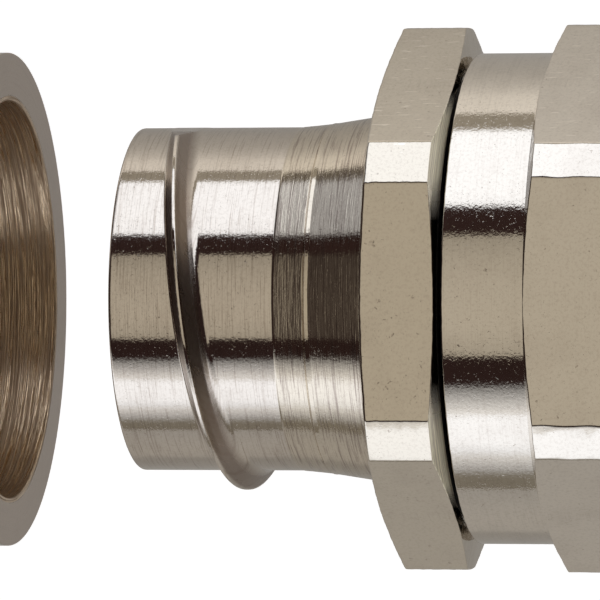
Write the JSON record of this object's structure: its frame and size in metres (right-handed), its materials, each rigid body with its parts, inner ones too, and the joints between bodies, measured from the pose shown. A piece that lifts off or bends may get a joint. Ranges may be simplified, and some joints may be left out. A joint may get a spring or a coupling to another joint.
{
  "type": "cable gland",
  "caption": "Nickel-plated brass M25 cable gland for flexible metal conduit, clamp nut drawn back from the ferrule.",
  "frame": {"origin": "on the gland's axis, in the plane of the face that seats on the enclosure wall", "axes": "+X along the gland's axis towards the entry thread's end, +Y along two opposite corners of the hexagons, +Z square to the hexagon flats, up when the gland lies on its flats"},
  "size_m": [0.065, 0.0334, 0.0306],
  "materials": {
    "nickel_plated_brass": "turned and bright nickel plated",
    "zinc_plated_steel": "zinc plated washer",
    "black_rubber": "moulded nitrile",
    "grey_rubber": "moulded chloroprene",
    "white_nylon": "moulded nylon"
  },
  "bodies": {
    "gland": {"gland_body": "nickel_plated_brass", "entry_o_ring": "black_rubber", "seat_washer": "zinc_plated_steel", "cable_seal_outer": "grey_rubber", "cable_seal_inner": "grey_rubber"},
    "thrust": {"thrust_washer": "zinc_plated_steel", "slip_ring": "white_nylon"},
    "screw": {"pressure_screw": "nickel_plated_brass", "neck_o_ring": "black_rubber", "shank_o_ring": "black_rubber"},
    "conduit_end": {"ferrule": "nickel_plated_brass"},
    "grip": {"conduit_clamp_ring": "white_nylon", "conduit_seal": "black_rubber"},
    "nut": {"conduit_nut": "nickel_plated_brass"}
  },
  "joints": [
    {"name": "screw_travel", "type": "slide", "parent": "gland", "child": "thrust", "axis": [1, 0, 0], "range_m": [-0.003, 0]},
    {"name": "screw_turn", "type": "hinge", "parent": "thrust", "child": "screw", "pos_m": [-0.0151, 0, 0], "axis": [1, 0, 0], "range_deg": [-720, 0]},
    {"name": "ferrule_turn", "type": "hinge", "parent": "thrust", "child": "conduit_end", "pos_m": [-0.025, 0, 0], "axis": [1, 0, 0], "continuous": true},
    {"name": "nut_slide", "type": "slide", "parent": "conduit_end", "child": "grip", "axis": [1, 0, 0], "range_m": [0, 0.0246]},
    {"name": "nut_turn", "type": "hinge", "parent": "grip", "child": "nut", "pos_m": [-0.0495, 0, 0], "axis": [1, 0, 0], "continuous": true}
  ],
  "couplings": [
    {"joint": "screw_turn", "follows": "screw_travel", "rad_per_m": 4188.8}
  ]
}
